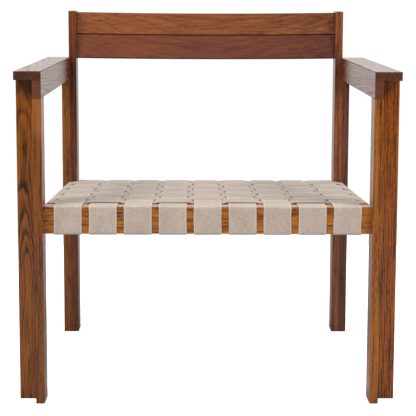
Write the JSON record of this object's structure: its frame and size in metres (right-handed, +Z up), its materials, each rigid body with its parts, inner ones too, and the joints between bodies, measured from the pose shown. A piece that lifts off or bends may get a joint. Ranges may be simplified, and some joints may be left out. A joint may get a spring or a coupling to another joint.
{
  "type": "wooden armchair",
  "caption": "Low open-frame armchair of flat boards with L-section legs and arms, a bent two-slat back and a woven webbing seat.",
  "frame": {"origin": "on the floor, under the middle of the chair's bounding box", "axes": "+Z up, the chair faces -Y, +X to the right as seen from the front"},
  "size_m": [0.69, 0.5998, 0.706],
  "materials": {
    "stained_wood": "satin oil stain over open-grained ash",
    "linen_webbing": "plain-woven flat webbing",
    "dowel_wood": "unfinished beech",
    "staple_steel": "zinc-plated wire"
  },
  "bodies": {
    "root": {"left_front_leg_inner": "stained_wood", "left_front_leg_outer": "stained_wood", "left_rear_leg_outer": "stained_wood", "left_back_post": "stained_wood", "left_arm_top": "stained_wood", "left_arm_side": "stained_wood", "left_side_rail": "stained_wood", "right_front_leg_inner": "stained_wood", "right_front_leg_outer": "stained_wood", "right_rear_leg_outer": "stained_wood", "right_back_post": "stained_wood", "right_arm_top": "stained_wood", "right_arm_side": "stained_wood", "right_side_rail": "stained_wood", "front_rail": "stained_wood", "rear_rail": "stained_wood", "lower_back_slat": "stained_wood", "upper_back_slat": "stained_wood", "front_to_back_strap_1": "linen_webbing", "front_to_back_strap_2": "linen_webbing", "front_to_back_strap_3": "linen_webbing", "front_to_back_strap_4": "linen_webbing", "front_to_back_strap_5": "linen_webbing", "front_to_back_strap_6": "linen_webbing", "front_to_back_strap_7": "linen_webbing", "front_to_back_strap_8": "linen_webbing", "front_to_back_strap_9": "linen_webbing", "side_to_side_strap_1": "linen_webbing", "side_to_side_strap_2": "linen_webbing", "side_to_side_strap_3": "linen_webbing", "side_to_side_strap_4": "linen_webbing", "side_to_side_strap_5": "linen_webbing", "side_to_side_strap_6": "linen_webbing", "side_to_side_strap_7": "linen_webbing", "side_to_side_strap_8": "linen_webbing", "front_rail_dowels": "dowel_wood", "side_rail_dowels": "dowel_wood", "rear_rail_dowels": "dowel_wood", "leg_to_arm_dowels": "dowel_wood", "arm_to_post_dowels": "dowel_wood", "back_slat_dowels": "dowel_wood", "webbing_staples": "staple_steel"}
  },
  "joints": []
}
